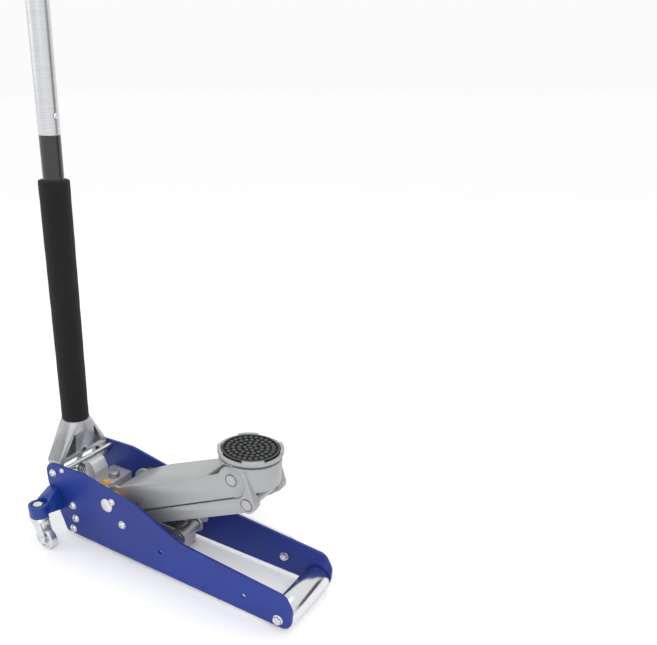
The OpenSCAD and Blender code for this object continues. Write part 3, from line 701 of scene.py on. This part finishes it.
def studded_pad():
    """Rubber pad with rings of round studs inside a low lip."""
    low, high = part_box("saddle_pad")
    middle = (low + high) / 2
    radius = (high.x - low.x) / 2
    top = high.z - low.z
    floor = top - STUD_TALL
    base = done(turned("pad_base", [(0, radius - 0.0006), (0.0006, radius), (top - 0.0004, radius),
                                    (top, radius - 0.0004), (top, radius - 0.0022), (floor, radius - 0.0028),
                                    (floor, 0.0005)], 96))
    stud = done(turned("stud", [(0, 0.0036), (0.0022, 0.0031), (STUD_TALL, 0.0026), (STUD_TALL, 0.0004)], 16))
    studs = []
    for ring in range(STUD_RINGS):
        out = RING_STEP * ring
        count = max(1, round(tau * out / STUD_PITCH))
        for k in range(count):
            angle = tau * k / count + 0.35 * ring
            studs.append(copied(stud, f"stud_{ring}_{k}",
                                Matrix.Translation((out * cos(angle), out * sin(angle), floor))))
    bpy.data.objects.remove(stud)
    pad = joined("studded_pad", [base] + studs)
    done(pad, (middle.x, middle.y, low.z))
    fitted(pad, "saddle", studded_rubber(high.z - 0.0016, high.z - 0.0001), "saddle_pad")


# ---- Casters ----

def caster_wheel(side, finish):
    """Steel wheel with a crowned tread, a dished web and a bored hub."""
    node = f"{side}_caster_wheel"
    low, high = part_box(node)
    middle = (low + high) / 2
    radius = (high.z - low.z) / 2
    half = (high.y - low.y) / 2
    bore = 0.0042
    face = [(half, bore), (half, 0.0078), (half - 0.0004, 0.0082), (half - 0.0034, 0.0086),
            (half - 0.0038, 0.0094), (half - 0.0038, radius - 0.0056), (half - 0.0034, radius - 0.0047),
            (half - 0.0004, radius - 0.0042), (half, radius - 0.0036), (half, radius - 0.0012),
            (half - 0.0004, radius - 0.0005), (half - 0.0014, radius - 0.0001), (half * 0.4, radius)]
    profile = face + [(-z, r) for z, r in reversed(face)] + [face[0]]
    wheel = done(turned(f"{side}_wheel", profile, 72), middle, (0, 1, 0))
    fitted(wheel, node, finish, node)


def build():
    blue = powder_coat("royal_blue_coat", (0.010, 0.030, 0.235), (0.12, 0.17, 0.4), 0.36, coat=0.06)
    bright = powder_coat("bright_blue_coat", (0.008, 0.042, 0.26), (0.16, 0.25, 0.5), 0.26, coat=0.2)
    grey = silver_paint("silver_grey_paint", (0.375, 0.385, 0.39))
    block = silver_paint("pale_silver_paint", (0.62, 0.625, 0.63))
    dull = zinc_plate("dull_zinc", (0.5, 0.5, 0.51), 0.42)
    zinc = zinc_plate("bright_zinc")
    roller = ground_chrome("roller_chrome", 1)
    bar = ground_chrome("bar_chrome", 0, rough=0.1)
    cast = sand_cast("cast_aluminium", (0.5, 0.51, 0.53))
    tube = ground_chrome("drawn_aluminium", 2, colour=(0.7, 0.71, 0.73), rough=0.24)
    enamel = moulded("black_enamel", (0.012, 0.012, 0.012), 0.22, grain=300, depth=0.00002, coat_weight=0.5)
    foam = foam_skin()
    bronze = zinc_plate("sintered_bronze", (0.56, 0.36, 0.16), 0.4)
    yellow = moulded("amber_plastic", (0.72, 0.42, 0.08), 0.35, coat_weight=0.3)
    plastic = moulded("black_plastic", (0.015, 0.015, 0.015), 0.42)
    spring = zinc_plate("oiled_spring_steel", (0.3, 0.3, 0.31), 0.32)
    for finish, nodes in (
        (blue, ("right_side_plate", "left_side_plate")),
        (bar, ("carry_handle", "ram_piston")),
        (tube, ("upper_tube", "handle_spigot")),
        (enamel, ("lower_tube",)),
        (bronze, ("roller_bushes", "arm_bushes")),
        (spring, ("upper_pin_clips", "lower_pin_clips")),
        (dull, ("upper_pivot_pin", "lower_pivot_pin")),
        (zinc, ("front_axle", "ram_gland", "tie_rod", "caster_bracket_bolts", "caster_stems",
                "arm_drive_pins", "crosshead_pin", "pump_plunger", "release_valve",
                "pump_roller", "pump_roller_pin", "handle_lock_screw", "release_driver", "right_caster_rivet",
                "left_caster_rivet")),
    ):
        finish.wear(*(cad[n] for n in nodes))
    for node, name, body, slot, finish, width in (
        ("lift_arm", "pressed_arm", "lift_arm", "grey_paint", grey, 0.0012),
        ("link_channel", "pressed_link", "link", "grey_paint", grey, 0.001),
        ("saddle_bracket", "cast_bracket", "saddle_bracket", "grey_paint", grey, 0.0018),
        ("saddle_cup", "machined_cup", "saddle", "grey_paint", grey, 0.0009),
        ("handle_yoke", "cast_yoke", "handle_yoke", "cast_aluminium", cast, 0.0016),
        ("power_unit", "pump_block", "frame", "bright_aluminium", block, 0.0012),
        ("right_caster_bracket", "right_cast_arm", "frame", "bright_blue_paint", bright, 0.0014),
        ("left_caster_bracket", "left_cast_arm", "frame", "bright_blue_paint", bright, 0.0014),
        ("right_caster_fork", "right_pressed_fork", "right_caster_fork", "zinc", zinc, 0.0006),
        ("left_caster_fork", "left_pressed_fork", "left_caster_fork", "zinc", zinc, 0.0006),
        ("arm_pivot_shaft", "pivot_shaft", "frame", "zinc", zinc, 0.0012),
        ("front_roller", "chromed_roller", "front_roller", "chrome", roller, 0.002),
        ("filler_plug", "amber_plug", "frame", "yellow_plastic", yellow, 0.0008),
        ("relief_valve_cap", "valve_cap", "frame", "cast_aluminium", cast, 0.001),
        ("carry_handle_nuts", "nuts_with_chamfer", "frame", "zinc", zinc, 0.0006),
        ("crosshead", "forged_crosshead", "ram", "zinc", dull, 0.0012),
        ("drive_links", "forged_links", "ram", "zinc", dull, 0.001),
    ):
        fitted(softened(node, name, width), body, finish, node)
    button = button_head()
    hexagon = hex_head()
    side_heads("axle_bolt_heads", "front_axle_bolts", hexagon, zinc)
    side_heads("link_bolt_heads", "link_shoulder_bolts", button, zinc)
    side_heads("block_bolt_heads", "power_unit_bolts", button, zinc)
    side_heads("handle_bolt_heads", "handle_pivot_bolts", button, zinc)
    side_heads("tie_rod_heads", "tie_rod_screws", button, zinc)
    side_heads("keeper_heads", "pivot_keepers", button, zinc)
    bpy.data.objects.remove(button)
    bpy.data.objects.remove(hexagon)
    foam_sleeve(foam)
    tube_end_cap(plastic)
    spring_button(zinc)
    return_spring_pair(spring)
    pump_return_spring(spring)
    studded_pad()
    for side in ("right", "left"):
        caster_wheel(side, zinc)


add_camera()
add_floor()
add_lights()
build()
